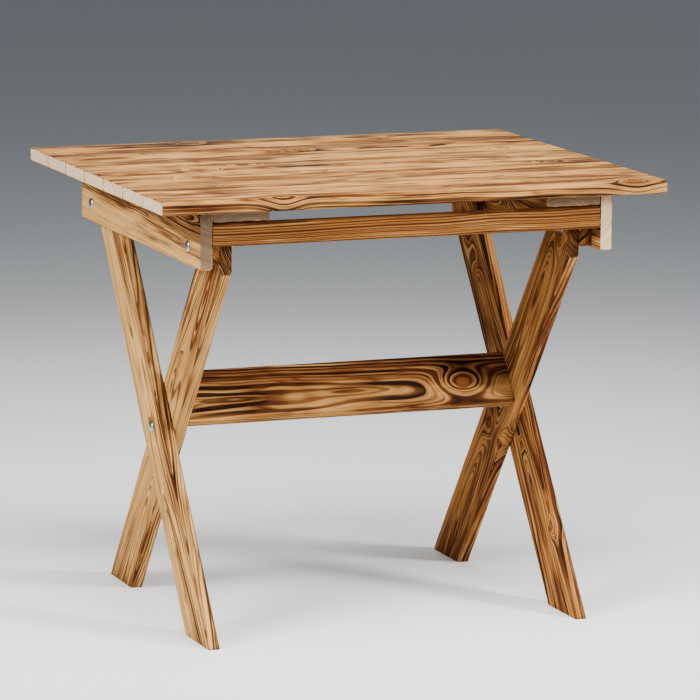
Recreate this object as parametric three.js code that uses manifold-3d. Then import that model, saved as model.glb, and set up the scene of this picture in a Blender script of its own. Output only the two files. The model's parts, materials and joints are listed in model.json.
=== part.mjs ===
// Folding picnic table: a plank top on two aprons, carried by two pairs of crossed legs.
// Millimetres. X runs along the top, Y from front to back, Z up. The origin is on the floor
// under the middle of the top. The table stands open.

import * as THREE from 'three';
import { mergeVertices } from 'three/addons/utils/BufferGeometryUtils.js';
import Module from 'manifold-3d';

const wasm = await Module();
wasm.setup();

// ---- Driving dimensions ----

const TABLE_LENGTH = 880;
const TABLE_HEIGHT = 750;
const PLANK_COUNT = 7;
const PLANK_WIDTH = 100.6;
const PLANK_GAP = 0.7;
const PLANK_THICKNESS = 22;
const ARRIS = 2;                    // chamfer on the long edges of every board
const FIT_GAP = 0.3;                // play round screws and between cut neighbours

const APRON_THICKNESS = 22;
const APRON_OUTER_X = 362;
const APRON_LENGTH = 617;
const APRON_BOTTOM = 630.5;

const BATTEN_WIDTH = 97.5;
const BATTEN_THICKNESS = 21;

const RAIL_DEPTH = 22;
const RAIL_BOTTOM = 667.5;
const RAIL_TOP = 704.5;

const LEG_THICKNESS = 21;
const LEG_WIDTH = 95;
const PIVOT_Y = 252;                // rear pivot and front clamp bolts lie at plus and minus this
const PIVOT_Z = 663;
const CROSSING_Z = 318;
const LEG_TOP_Z = 696;
const LEG_END_Y = 276;              // the leg tops are cut upright here
const LEG_GAP = 0.5;                // between an outer and an inner leg

const SPACER_LENGTH = 84;
const SPACER_BOTTOM = 633.5;

const STRETCHER_WIDTH = 96;
const STRETCHER_THICKNESS = 21;
const STRETCHER_TOP_Y = -13.3;      // upper arris of its front face
const STRETCHER_TOP_Z = 413.9;

const BOLT_RADIUS = 4;
const BOLT_HOLE_RADIUS = 4.4;
const BOLT_HEAD_RADIUS = 9.8;
const BOLT_HEAD_HEIGHT = 4.4;
const WASHER_RADIUS = 7.8;
const WASHER_THICKNESS = 1.6;
const NUT_RADIUS = 7.5;             // across the corners
const NUT_HEIGHT = 6.5;
const BOLT_TIP = 2.5;               // thread standing out of the nut
const WING_REACH = 15;
const RECESS_RADIUS = 9.5;           // sinks the crossing nuts into the inner legs
const RECESS_DEPTH = 10.8;

const SLOT_WIDTH = 9.6;             // open slot in the inner leg tops for the front bolts
const SLOT_RISE = 12.6;             // degrees that the slot climbs towards its mouth

const SCREW_RADIUS = 2;
const SCREW_HEAD_RADIUS = 4;
const SCREW_HEAD_DEPTH = 3;

const BOLT_SEGMENTS = 16;
const SCREW_SEGMENTS = 8;

// ---- Derived places ----

const PLANK_UNDERSIDE = TABLE_HEIGHT - PLANK_THICKNESS;
const BATTEN_BOTTOM = PLANK_UNDERSIDE - BATTEN_THICKNESS;
const APRON_INNER_X = APRON_OUTER_X - APRON_THICKNESS;
const BATTEN_X = APRON_INNER_X - BATTEN_WIDTH / 2;
const OUTER_LEG_OUT = APRON_INNER_X - WASHER_THICKNESS - FIT_GAP;
const OUTER_LEG_IN = OUTER_LEG_OUT - LEG_THICKNESS;
const INNER_LEG_OUT = OUTER_LEG_IN - LEG_GAP;
const INNER_LEG_IN = INNER_LEG_OUT - LEG_THICKNESS;
const RAIL_FRONT_Y = -APRON_LENGTH / 2;
const LEG_SLOPE = PIVOT_Y / (PIVOT_Z - CROSSING_Z);
const LEG_TILT = Math.atan(LEG_SLOPE);
const LEG_HALF_SPAN = LEG_WIDTH / 2 / Math.cos(LEG_TILT);
const PLANK_PITCH = PLANK_WIDTH + PLANK_GAP;

// ---- Materials ----

function pine(color) {
  return new THREE.MeshStandardMaterial({ color, roughness: 0.6, metalness: 0 });
}

function zinc() {
  return new THREE.MeshStandardMaterial({ color: 0xb9bcc0, roughness: 0.3, metalness: 1 });
}

const HONEY = 0xc99a63;
const CREAM = 0xd8b484;
const BROWN = 0xa8703e;

// ---- Shape tools ----

const table = new THREE.Group();

function toSolid(geometry) {
  const bare = geometry.index ? geometry.toNonIndexed() : geometry.clone();
  bare.deleteAttribute('normal');
  bare.deleteAttribute('uv');
  const merged = mergeVertices(bare, 1e-4);
  return new wasm.Manifold(new wasm.Mesh({
    numProp: 3,
    vertProperties: new Float32Array(merged.attributes.position.array),
    triVerts: new Uint32Array(merged.index.array),
  }));
}

function toGeometry(solid) {
  const mesh = solid.getMesh();
  const geometry = new THREE.BufferGeometry();
  geometry.setAttribute('position', new THREE.BufferAttribute(mesh.vertProperties, 3));
  geometry.setIndex(new THREE.BufferAttribute(mesh.triVerts, 1));
  geometry.computeVertexNormals();
  return geometry;
}

function addPiece(name, solid, material) {
  const mesh = new THREE.Mesh(toGeometry(solid), material);
  mesh.name = name;
  table.add(mesh);
}

// A board with every edge chamfered, as a solid between two corners.
function board(low, high) {
  const size = high.map((value, axis) => value - low[axis]);
  const outline = new THREE.Shape([
    new THREE.Vector2(low[0], low[1]),
    new THREE.Vector2(high[0], low[1]),
    new THREE.Vector2(high[0], high[1]),
    new THREE.Vector2(low[0], high[1]),
  ]);
  const geometry = new THREE.ExtrudeGeometry(outline, {
    depth: size[2] - 2 * ARRIS,
    bevelEnabled: true,
    bevelSegments: 1,
    bevelSize: ARRIS,
    bevelOffset: -ARRIS,
    bevelThickness: ARRIS,
  });
  geometry.translate(0, 0, low[2] + ARRIS);
  return toSolid(geometry);
}

// A board whose outline lies in the YZ plane, as [y, z] points, between two X places.
function sideBoard(points, lowX, highX) {
  const outline = new THREE.Shape(points.map(([y, z]) => new THREE.Vector2(y, z)));
  const geometry = new THREE.ExtrudeGeometry(outline, {
    depth: highX - lowX - 2 * ARRIS,
    bevelEnabled: true,
    bevelSegments: 1,
    bevelSize: ARRIS,
    bevelOffset: -ARRIS,
    bevelThickness: ARRIS,
  });
  geometry.applyMatrix4(new THREE.Matrix4().set(
    0, 0, 1, lowX + ARRIS,
    1, 0, 0, 0,
    0, 1, 0, 0,
    0, 0, 0, 1,
  ));
  return toSolid(geometry);
}

// A turned solid from [radius, height] points, its axis along X pointing to side, head at x.
function turnedAlongX(profile, segments, side, x, y, z) {
  const points = profile.map(([radius, height]) => new THREE.Vector2(radius, height));
  const geometry = new THREE.LatheGeometry(points, segments);
  geometry.rotateZ(-side * Math.PI / 2);
  geometry.translate(x, y, z);
  return toSolid(geometry);
}

// The same with its axis along Z, pointing up from z.
function turnedAlongZ(profile, segments, x, y, z) {
  const points = profile.map(([radius, height]) => new THREE.Vector2(radius, height));
  const geometry = new THREE.LatheGeometry(points, segments);
  geometry.rotateX(Math.PI / 2);
  geometry.translate(x, y, z);
  return toSolid(geometry);
}

function rod(radius, length) {
  return [[0, 0], [radius, 0], [radius, length], [0, length]];
}

function ring(inner, outer, length) {
  return [[inner, 0], [outer, 0], [outer, length], [inner, length], [inner, 0]];
}

function holeAlongX(y, z) {
  return turnedAlongX(rod(BOLT_HOLE_RADIUS, TABLE_LENGTH), BOLT_SEGMENTS, 1, -TABLE_LENGTH / 2, y, z);
}

// ---- Screws ----

function screwProfile(length, gap) {
  return [
    [0, 0],
    [SCREW_HEAD_RADIUS + gap, 0],
    [SCREW_RADIUS + gap, SCREW_HEAD_DEPTH],
    [SCREW_RADIUS + gap, length + gap],
    [0, length + gap],
  ];
}

const PLANK_SCREW_LENGTH = 34;

function plankScrew(side, row, gap) {
  const y = (row - (PLANK_COUNT - 1) / 2) * PLANK_PITCH;
  const edge = APRON_LENGTH / 2 - 25;
  const held = Math.max(-edge, Math.min(edge, y));
  const sunk = BATTEN_BOTTOM + (gap > 0 ? 0 : 0.2);
  return turnedAlongZ(screwProfile(PLANK_SCREW_LENGTH, gap), SCREW_SEGMENTS, side * BATTEN_X, held, sunk);
}

// ---- Top ----

function makeTop() {
  for (let row = 0; row < PLANK_COUNT; row += 1) {
    const middle = (row - (PLANK_COUNT - 1) / 2) * PLANK_PITCH;
    let plank = board(
      [-TABLE_LENGTH / 2, middle - PLANK_WIDTH / 2, PLANK_UNDERSIDE],
      [TABLE_LENGTH / 2, middle + PLANK_WIDTH / 2, TABLE_HEIGHT],
    );
    for (const side of [-1, 1]) {
      plank = plank.subtract(plankScrew(side, row, FIT_GAP));
    }
    addPiece(`tabletop_plank_${row + 1}`, plank, pine(row % 2 ? HONEY : CREAM));
  }
}

function makeBatten(side, label) {
  const edges = [side * APRON_INNER_X, side * (APRON_INNER_X - BATTEN_WIDTH)];
  let batten = board(
    [Math.min(...edges), -APRON_LENGTH / 2, BATTEN_BOTTOM],
    [Math.max(...edges), APRON_LENGTH / 2, PLANK_UNDERSIDE],
  );
  for (let row = 0; row < PLANK_COUNT; row += 1) {
    batten = batten.subtract(plankScrew(side, row, FIT_GAP));
    addPiece(`plank_screw_${label}_${row + 1}`, plankScrew(side, row, 0), zinc());
  }
  batten = batten.subtract(railScrew(side, FIT_GAP));
  addPiece(`batten_${label}`, batten, pine(HONEY));
}

function makeApron(side, label) {
  const edges = [side * APRON_INNER_X, side * APRON_OUTER_X];
  let apron = board(
    [Math.min(...edges), -APRON_LENGTH / 2, APRON_BOTTOM],
    [Math.max(...edges), APRON_LENGTH / 2, PLANK_UNDERSIDE],
  );
  for (const y of [-PIVOT_Y, PIVOT_Y]) {
    apron = apron.subtract(holeAlongX(y, PIVOT_Z));
  }
  addPiece(`apron_${label}`, apron, pine(HONEY));
}

// ---- Front rail ----

const RAIL_SCREW_LENGTH = 50;
const RAIL_SCREW_X = APRON_INNER_X - 75;

function railScrew(side, gap) {
  const sunk = RAIL_BOTTOM + (gap > 0 ? 0 : 0.2);
  const y = RAIL_FRONT_Y + RAIL_DEPTH / 2;
  return turnedAlongZ(screwProfile(RAIL_SCREW_LENGTH, gap), SCREW_SEGMENTS, side * RAIL_SCREW_X, y, sunk);
}

function makeRail() {
  let rail = board(
    [-APRON_INNER_X + FIT_GAP, RAIL_FRONT_Y, RAIL_BOTTOM],
    [APRON_INNER_X - FIT_GAP, RAIL_FRONT_Y + RAIL_DEPTH, RAIL_TOP],
  );
  for (const side of [-1, 1]) {
    rail = rail.subtract(railScrew(side, FIT_GAP));
    addPiece(`rail_screw_${side < 0 ? 'left' : 'right'}`, railScrew(side, 0), zinc());
  }
  addPiece('front_rail', rail, pine(BROWN));
}

// The block fills the leg's width between the apron and the inner leg, behind the rail.
function makeSpacer(side, label) {
  const edges = [side * APRON_INNER_X, side * (INNER_LEG_OUT + FIT_GAP)];
  const block = board(
    [Math.min(...edges), -LEG_END_Y, SPACER_BOTTOM],
    [Math.max(...edges), -LEG_END_Y + SPACER_LENGTH, BATTEN_BOTTOM],
  );
  addPiece(`spacer_block_${label}`, block.subtract(holeAlongX(-PIVOT_Y, PIVOT_Z)), pine(BROWN));
}

// ---- Legs ----

// Outline of a leg whose top is at the back when lean is 1 and at the front when it is -1.
function legOutline(lean) {
  const centre = (z) => (z - CROSSING_Z) * LEG_SLOPE;
  const kneeZ = CROSSING_Z + (LEG_END_Y - LEG_HALF_SPAN) / LEG_SLOPE;
  const points = [
    [centre(0) - LEG_HALF_SPAN, 0],
    [centre(0) + LEG_HALF_SPAN, 0],
    [LEG_END_Y, kneeZ],
    [LEG_END_Y, LEG_TOP_Z],
    [centre(LEG_TOP_Z) - LEG_HALF_SPAN, LEG_TOP_Z],
  ];
  return lean > 0 ? points : points.map(([y, z]) => [-y, z]).reverse();
}

function slotOutline() {
  const rise = SLOT_RISE * Math.PI / 180;
  const along = [-Math.cos(rise), Math.sin(rise)];
  const across = [Math.sin(rise) * SLOT_WIDTH / 2, Math.cos(rise) * SLOT_WIDTH / 2];
  const reach = 40;
  const end = [-PIVOT_Y + along[0] * reach, PIVOT_Z + along[1] * reach];
  return [
    [-PIVOT_Y + across[0], PIVOT_Z + across[1]],
    [end[0] + across[0], end[1] + across[1]],
    [end[0] - across[0], end[1] - across[1]],
    [-PIVOT_Y - across[0], PIVOT_Z - across[1]],
  ];
}

function slotCutter() {
  const points = slotOutline().map(([y, z]) => new THREE.Vector2(y, z));
  const channel = new THREE.ExtrudeGeometry(new THREE.Shape(points), {
    depth: TABLE_LENGTH,
    bevelEnabled: false,
  });
  channel.applyMatrix4(new THREE.Matrix4().set(
    0, 0, 1, -TABLE_LENGTH / 2,
    1, 0, 0, 0,
    0, 1, 0, 0,
    0, 0, 0, 1,
  ));
  const seat = turnedAlongX(
    rod(SLOT_WIDTH / 2, TABLE_LENGTH), BOLT_SEGMENTS, 1, -TABLE_LENGTH / 2, -PIVOT_Y, PIVOT_Z,
  );
  return toSolid(channel).add(seat);
}

function makeOuterLeg(side, label) {
  const edges = [side * OUTER_LEG_OUT, side * OUTER_LEG_IN];
  const leg = sideBoard(legOutline(1), Math.min(...edges), Math.max(...edges))
    .subtract(holeAlongX(PIVOT_Y, PIVOT_Z))
    .subtract(holeAlongX(0, CROSSING_Z));
  addPiece(`outer_leg_${label}`, leg, pine(CREAM));
}

function nutRecess(side) {
  const profile = rod(RECESS_RADIUS, 2 * RECESS_DEPTH);
  return turnedAlongX(profile, BOLT_SEGMENTS, -side, side * (INNER_LEG_IN + RECESS_DEPTH), 0, CROSSING_Z);
}

function makeInnerLeg(side, label) {
  const edges = [side * INNER_LEG_OUT, side * INNER_LEG_IN];
  let leg = sideBoard(legOutline(-1), Math.min(...edges), Math.max(...edges))
    .subtract(slotCutter())
    .subtract(holeAlongX(0, CROSSING_Z))
    .subtract(nutRecess(side));
  for (let row = 0; row < STRETCHER_SCREW_COUNT; row += 1) {
    leg = leg.subtract(stretcherScrew(side, row, FIT_GAP));
    addPiece(`stretcher_screw_${label}_${row + 1}`, stretcherScrew(side, row, 0), zinc());
  }
  addPiece(`inner_leg_${label}`, leg, pine(HONEY));
}

// ---- Stretcher ----

const STRETCHER_SCREW_COUNT = 2;
const STRETCHER_SCREW_LENGTH = 55;
const DOWN = [-Math.sin(LEG_TILT), -Math.cos(LEG_TILT)];      // along the stretcher's face
const BACK = [Math.cos(LEG_TILT), -Math.sin(LEG_TILT)];       // through its thickness

function stretcherPoint(down, back) {
  return [
    STRETCHER_TOP_Y + DOWN[0] * down + BACK[0] * back,
    STRETCHER_TOP_Z + DOWN[1] * down + BACK[1] * back,
  ];
}

function stretcherScrew(side, row, gap) {
  const [y, z] = stretcherPoint(STRETCHER_WIDTH * (row ? 0.75 : 0.25), STRETCHER_THICKNESS / 2);
  const x = side * (INNER_LEG_OUT - (gap > 0 ? 0 : 0.2));
  return turnedAlongX(screwProfile(STRETCHER_SCREW_LENGTH, gap), SCREW_SEGMENTS, -side, x, y, z);
}

function makeStretcher() {
  const outline = [
    stretcherPoint(STRETCHER_WIDTH, 0),
    stretcherPoint(STRETCHER_WIDTH, STRETCHER_THICKNESS),
    stretcherPoint(0, STRETCHER_THICKNESS),
    stretcherPoint(0, 0),
  ];
  let stretcher = sideBoard(outline, -INNER_LEG_IN + FIT_GAP, INNER_LEG_IN - FIT_GAP);
  for (const side of [-1, 1]) {
    for (let row = 0; row < STRETCHER_SCREW_COUNT; row += 1) {
      stretcher = stretcher.subtract(stretcherScrew(side, row, FIT_GAP));
    }
  }
  addPiece('stretcher', stretcher, pine(HONEY));
}

// ---- Bolts, washers and nuts ----

function carriageBolt(length) {
  const dome = [];
  const steps = 4;
  for (let step = 0; step <= steps; step += 1) {
    const angle = step / steps * Math.PI / 2;
    dome.push([BOLT_HEAD_RADIUS * Math.sin(angle), -BOLT_HEAD_HEIGHT * Math.cos(angle)]);
  }
  dome[0][0] = 0;
  return [...dome, [BOLT_RADIUS, 0], [BOLT_RADIUS, length], [0, length]];
}

// A bolt through the boards from headX inwards, with its washer and nut where they end.
function makeBolt(name, side, headX, backX, y, z) {
  const length = headX - backX + WASHER_THICKNESS + NUT_HEIGHT + BOLT_TIP;
  const bolt = turnedAlongX(carriageBolt(length), BOLT_SEGMENTS, -side, side * headX, y, z);
  addPiece(`${name}_bolt`, bolt, zinc());
  const washer = ring(BOLT_HOLE_RADIUS, WASHER_RADIUS, WASHER_THICKNESS);
  addPiece(`${name}_washer`, turnedAlongX(washer, BOLT_SEGMENTS, -side, side * backX, y, z), zinc());
}

function makeHexNut(name, side, faceX, y, z) {
  const nut = turnedAlongX(rod(NUT_RADIUS, NUT_HEIGHT), 6, -side, side * faceX, y, z);
  const bore = turnedAlongX(rod(BOLT_HOLE_RADIUS, 3 * NUT_HEIGHT), BOLT_SEGMENTS, -side,
    side * (faceX + NUT_HEIGHT), y, z);
  addPiece(`${name}_nut`, nut.subtract(bore), zinc());
}

function makeWingNut(name, side, faceX, y, z) {
  const hub = turnedAlongX([[0, 0], [6.5, 0], [5.6, NUT_HEIGHT + 1.5], [0, NUT_HEIGHT + 1.5]],
    BOLT_SEGMENTS, -side, side * faceX, y, z);
  const wing = new THREE.Shape();
  wing.moveTo(0, 0.6);
  wing.lineTo(6, 0.6);
  wing.lineTo(WING_REACH, 8);
  wing.absarc(WING_REACH - 3.2, 10.6, 3.6, -0.2, Math.PI * 0.75, false);
  wing.lineTo(6, 6.5);
  wing.lineTo(0, 6.5);
  const blade = new THREE.ExtrudeGeometry(wing, { depth: 2.4, bevelEnabled: false, curveSegments: 5 });
  blade.translate(0, 0, -1.2);
  let nut = hub;
  for (const turn of [0, Math.PI]) {
    const placed = blade.clone();
    placed.rotateY(turn);
    // Shape x goes to Y, shape y goes inwards along X, and the blade's thickness to Z.
    placed.applyMatrix4(new THREE.Matrix4().set(
      0, -side, 0, side * faceX,
      1, 0, 0, y,
      0, 0, side, z,
      0, 0, 0, 1,
    ));
    nut = nut.add(toSolid(placed));
  }
  const bore = turnedAlongX(rod(BOLT_HOLE_RADIUS, 4 * NUT_HEIGHT), BOLT_SEGMENTS, -side,
    side * (faceX + NUT_HEIGHT), y, z);
  addPiece(`${name}_wing_nut`, nut.subtract(bore), zinc());
}

function makeFasteners(side, label) {
  const rear = `rear_pivot_${label}`;
  makeBolt(rear, side, APRON_OUTER_X, OUTER_LEG_IN, PIVOT_Y, PIVOT_Z);
  makeHexNut(rear, side, OUTER_LEG_IN - WASHER_THICKNESS, PIVOT_Y, PIVOT_Z);
  const packing = ring(BOLT_HOLE_RADIUS, WASHER_RADIUS, WASHER_THICKNESS);
  addPiece(`${rear}_packing_washer`,
    turnedAlongX(packing, BOLT_SEGMENTS, -side, side * (APRON_INNER_X - FIT_GAP / 2), PIVOT_Y, PIVOT_Z),
    zinc());

  const front = `front_clamp_${label}`;
  makeBolt(front, side, APRON_OUTER_X, INNER_LEG_IN - FIT_GAP, -PIVOT_Y, PIVOT_Z);
  makeWingNut(front, side, INNER_LEG_IN - FIT_GAP - WASHER_THICKNESS, -PIVOT_Y, PIVOT_Z);

  const crossing = `crossing_${label}`;
  const seatX = INNER_LEG_IN + RECESS_DEPTH;
  makeBolt(crossing, side, OUTER_LEG_OUT, seatX, 0, CROSSING_Z);
  makeHexNut(crossing, side, seatX - WASHER_THICKNESS, 0, CROSSING_Z);
}

// ---- Assembly ----

makeTop();
makeRail();
makeStretcher();
for (const [side, label] of [[-1, 'left'], [1, 'right']]) {
  makeBatten(side, label);
  makeApron(side, label);
  makeSpacer(side, label);
  makeOuterLeg(side, label);
  makeInnerLeg(side, label);
  makeFasteners(side, label);
}

export default table;
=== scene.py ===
# Looks of the folding picnic table: burnt and brushed pine boards and bright zinc hardware.
# The frame is in metres; boards and hardware are worked out in millimetres.

import json
import math
import random

import bpy
import bmesh
from mathutils import Matrix, Vector, noise

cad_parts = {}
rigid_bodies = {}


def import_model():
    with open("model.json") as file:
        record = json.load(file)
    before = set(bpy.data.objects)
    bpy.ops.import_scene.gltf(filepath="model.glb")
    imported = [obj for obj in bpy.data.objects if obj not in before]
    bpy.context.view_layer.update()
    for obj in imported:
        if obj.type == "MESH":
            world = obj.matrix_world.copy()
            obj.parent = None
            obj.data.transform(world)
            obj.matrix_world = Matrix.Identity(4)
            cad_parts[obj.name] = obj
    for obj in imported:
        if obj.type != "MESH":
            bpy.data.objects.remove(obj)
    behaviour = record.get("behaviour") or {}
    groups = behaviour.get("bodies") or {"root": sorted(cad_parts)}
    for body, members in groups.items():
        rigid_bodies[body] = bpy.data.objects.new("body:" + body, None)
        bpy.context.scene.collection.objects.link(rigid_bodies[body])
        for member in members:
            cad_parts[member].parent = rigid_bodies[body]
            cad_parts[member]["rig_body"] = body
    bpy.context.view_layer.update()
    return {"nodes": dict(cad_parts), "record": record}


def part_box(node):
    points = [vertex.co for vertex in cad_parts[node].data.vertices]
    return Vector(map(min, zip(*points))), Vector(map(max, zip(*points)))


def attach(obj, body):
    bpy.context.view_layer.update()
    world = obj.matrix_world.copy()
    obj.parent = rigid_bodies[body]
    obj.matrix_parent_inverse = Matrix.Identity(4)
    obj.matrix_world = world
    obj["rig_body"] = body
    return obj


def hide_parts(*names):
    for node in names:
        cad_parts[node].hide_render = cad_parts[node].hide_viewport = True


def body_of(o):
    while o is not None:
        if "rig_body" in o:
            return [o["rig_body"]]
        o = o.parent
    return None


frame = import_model()

MM = 0.001
SCENE = bpy.context.scene

# ---------------------------------------------------------------- camera, floor and light

CAMERA_PLACE = Vector((-2.6388, -6.8141, 1.7290))
CAMERA_YAW = 21.30
CAMERA_PITCH = -10.08
CAMERA_ROLL = 0.54
CAMERA_LENS = 224.2
CAMERA_FAR = 500

FLOOR_REACH = 200
FLOOR_COLOUR = (0.77, 0.79, 0.81, 1)
WORLD_COLOUR = (0.60, 0.65, 0.70, 1)
WORLD_STRENGTH = 0.26

# Name, place, point aimed at, size, watts, colour, spread in degrees.
LIGHTS = (
    ("overhead", (-0.2, -1.1, 2.9), (0, -0.1, 0.2), (2.2, 1.7), 74, (1.0, 0.985, 0.96), 110),
    ("left", (-3.2, -0.9, 1.9), (0, 0, 0.45), (1.6, 1.6), 66, (1.0, 0.98, 0.95), 100),
    ("right", (2.3, -2.3, 1.6), (0.1, 0, 0.3), (0.7, 0.7), 58, (1.0, 0.98, 0.95), 100),
    ("back", (0.8, 3.2, 2.2), (0, 0, 0.5), (2.2, 1.4), 14, (0.96, 0.98, 1.0), 100),
)


def make_camera():
    yaw, pitch, roll = (math.radians(a) for a in (CAMERA_YAW, CAMERA_PITCH, CAMERA_ROLL))
    ahead = Vector((math.sin(yaw) * math.cos(pitch), math.cos(yaw) * math.cos(pitch), math.sin(pitch)))
    level = Vector((math.cos(yaw), -math.sin(yaw), 0))
    upright = level.cross(ahead)
    right = level * math.cos(roll) + upright * math.sin(roll)
    up = upright * math.cos(roll) - level * math.sin(roll)
    data = bpy.data.cameras.new("camera")
    data.sensor_width = 36
    data.lens = CAMERA_LENS
    data.clip_end = CAMERA_FAR
    data.dof.use_dof = False
    camera = bpy.data.objects.new("camera", data)
    camera.matrix_world = Matrix((
        (right.x, up.x, -ahead.x, CAMERA_PLACE.x),
        (right.y, up.y, -ahead.y, CAMERA_PLACE.y),
        (right.z, up.z, -ahead.z, CAMERA_PLACE.z),
        (0, 0, 0, 1),
    ))
    SCENE.collection.objects.link(camera)
    SCENE.camera = camera


def make_floor():
    mesh = bpy.data.meshes.new("floor")
    corners = [(x * FLOOR_REACH, y * FLOOR_REACH, 0) for x, y in ((-1, -1), (1, -1), (1, 1), (-1, 1))]
    mesh.from_pydata(corners, [], [(0, 1, 2, 3)])
    floor = bpy.data.objects.new("floor", mesh)
    SCENE.collection.objects.link(floor)
    material = bpy.data.materials.new("floor")
    material.use_nodes = True
    surface = material.node_tree.nodes["Principled BSDF"]
    surface.inputs["Base Color"].default_value = FLOOR_COLOUR
    surface.inputs["Roughness"].default_value = 0.75
    mesh.materials.append(material)


def make_light(name, place, aim, size, power, colour, spread_angle):
    data = bpy.data.lights.new(name, "AREA")
    data.shape = "RECTANGLE"
    data.size, data.size_y = size
    data.energy = power
    data.color = colour
    data.spread = math.radians(spread_angle)
    light = bpy.data.objects.new(name, data)
    light.location = place
    light.rotation_euler = (Vector(aim) - Vector(place)).to_track_quat("-Z", "Y").to_euler()
    SCENE.collection.objects.link(light)


def make_lights():
    for light in LIGHTS:
        make_light(*light)
    world = bpy.data.worlds.new("studio")
    world.use_nodes = True
    world.node_tree.nodes["Background"].inputs["Color"].default_value = WORLD_COLOUR
    world.node_tree.nodes["Background"].inputs["Strength"].default_value = WORLD_STRENGTH
    SCENE.world = world


# ---------------------------------------------------------------- node tools

class Graph:
    """Adds nodes to a tree and joins them, so that a formula reads as one."""

    def __init__(self, tree):
        self.tree = tree

    def node(self, kind, **settings):
        made = self.tree.nodes.new(kind)
        for key, value in settings.items():
            setattr(made, key, value)
        return made

    def put(self, socket, value):
        if isinstance(value, bpy.types.NodeSocket):
            self.tree.links.new(value, socket)
        else:
            socket.default_value = value

    def math(self, operation, *values, clamp=False):
        made = self.node("ShaderNodeMath", operation=operation, use_clamp=clamp)
        for socket, value in zip(made.inputs, values):
            self.put(socket, value)
        return made.outputs[0]

    def split(self, vector):
        made = self.node("ShaderNodeSeparateXYZ")
        self.put(made.inputs[0], vector)
        return made.outputs

    def join(self, x, y, z):
        made = self.node("ShaderNodeCombineXYZ")
        for socket, value in zip(made.inputs, (x, y, z)):
            self.put(socket, value)
        return made.outputs[0]

    def scaled(self, parts, factors, shift):
        terms = [self.math("MULTIPLY_ADD", part, factor, shift) for part, factor in zip(parts, factors)]
        return self.join(*terms)

    def noise(self, vector, detail=2.0, rough=0.5):
        made = self.node("ShaderNodeTexNoise")
        self.put(made.inputs["Vector"], vector)
        made.inputs["Scale"].default_value = 1
        made.inputs["Detail"].default_value = detail
        made.inputs["Roughness"].default_value = rough
        return made.outputs["Fac"]

    def mix(self, amount, first, second, blend="MIX"):
        made = self.node("ShaderNodeMix", data_type="RGBA", blend_type=blend)
        self.put(made.inputs["Factor"], amount)
        self.put(made.inputs[6], first)
        self.put(made.inputs[7], second)
        return made.outputs[2]


# ---------------------------------------------------------------- burnt pine

KNOT_COUNT = 5
NUMBER_INPUTS = ("Seed", "Pith Across", "Pith Depth", "Ring Width", "Taper", "Char", "Tone", "Waviness",
                 "Char Slope", "Painted End Shade", "Evenness")

CREAM = (0.60, 0.345, 0.112, 1)
HONEY = (0.31, 0.116, 0.023, 1)
RUSSET = (0.128, 0.037, 0.0096, 1)
LATE = (0.072, 0.019, 0.0054, 1)
SOOT = (0.014, 0.006, 0.0035, 1)
END_PALE = (0.58, 0.42, 0.27, 1)
END_DARK = (0.32, 0.215, 0.12, 1)
KNOT_RED = (0.102, 0.028, 0.0084, 1)

SEED_SPACING = 7.31
BEND_REACH = 24
RIPPLE_REACH = 2.6
PATCH_CONTRAST = 4.0
BAND_CONTRAST = 3.4
RING_UNEVENNESS = 3.2
LATE_RISE = 0.24
LATE_FALL = 0.07
STREAK_CONTRAST = 8.0
WOOD_SHEEN = 0.02
WOOD_BUMP = 0.75
WOOD_BUMP_DEPTH = 0.0007


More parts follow.
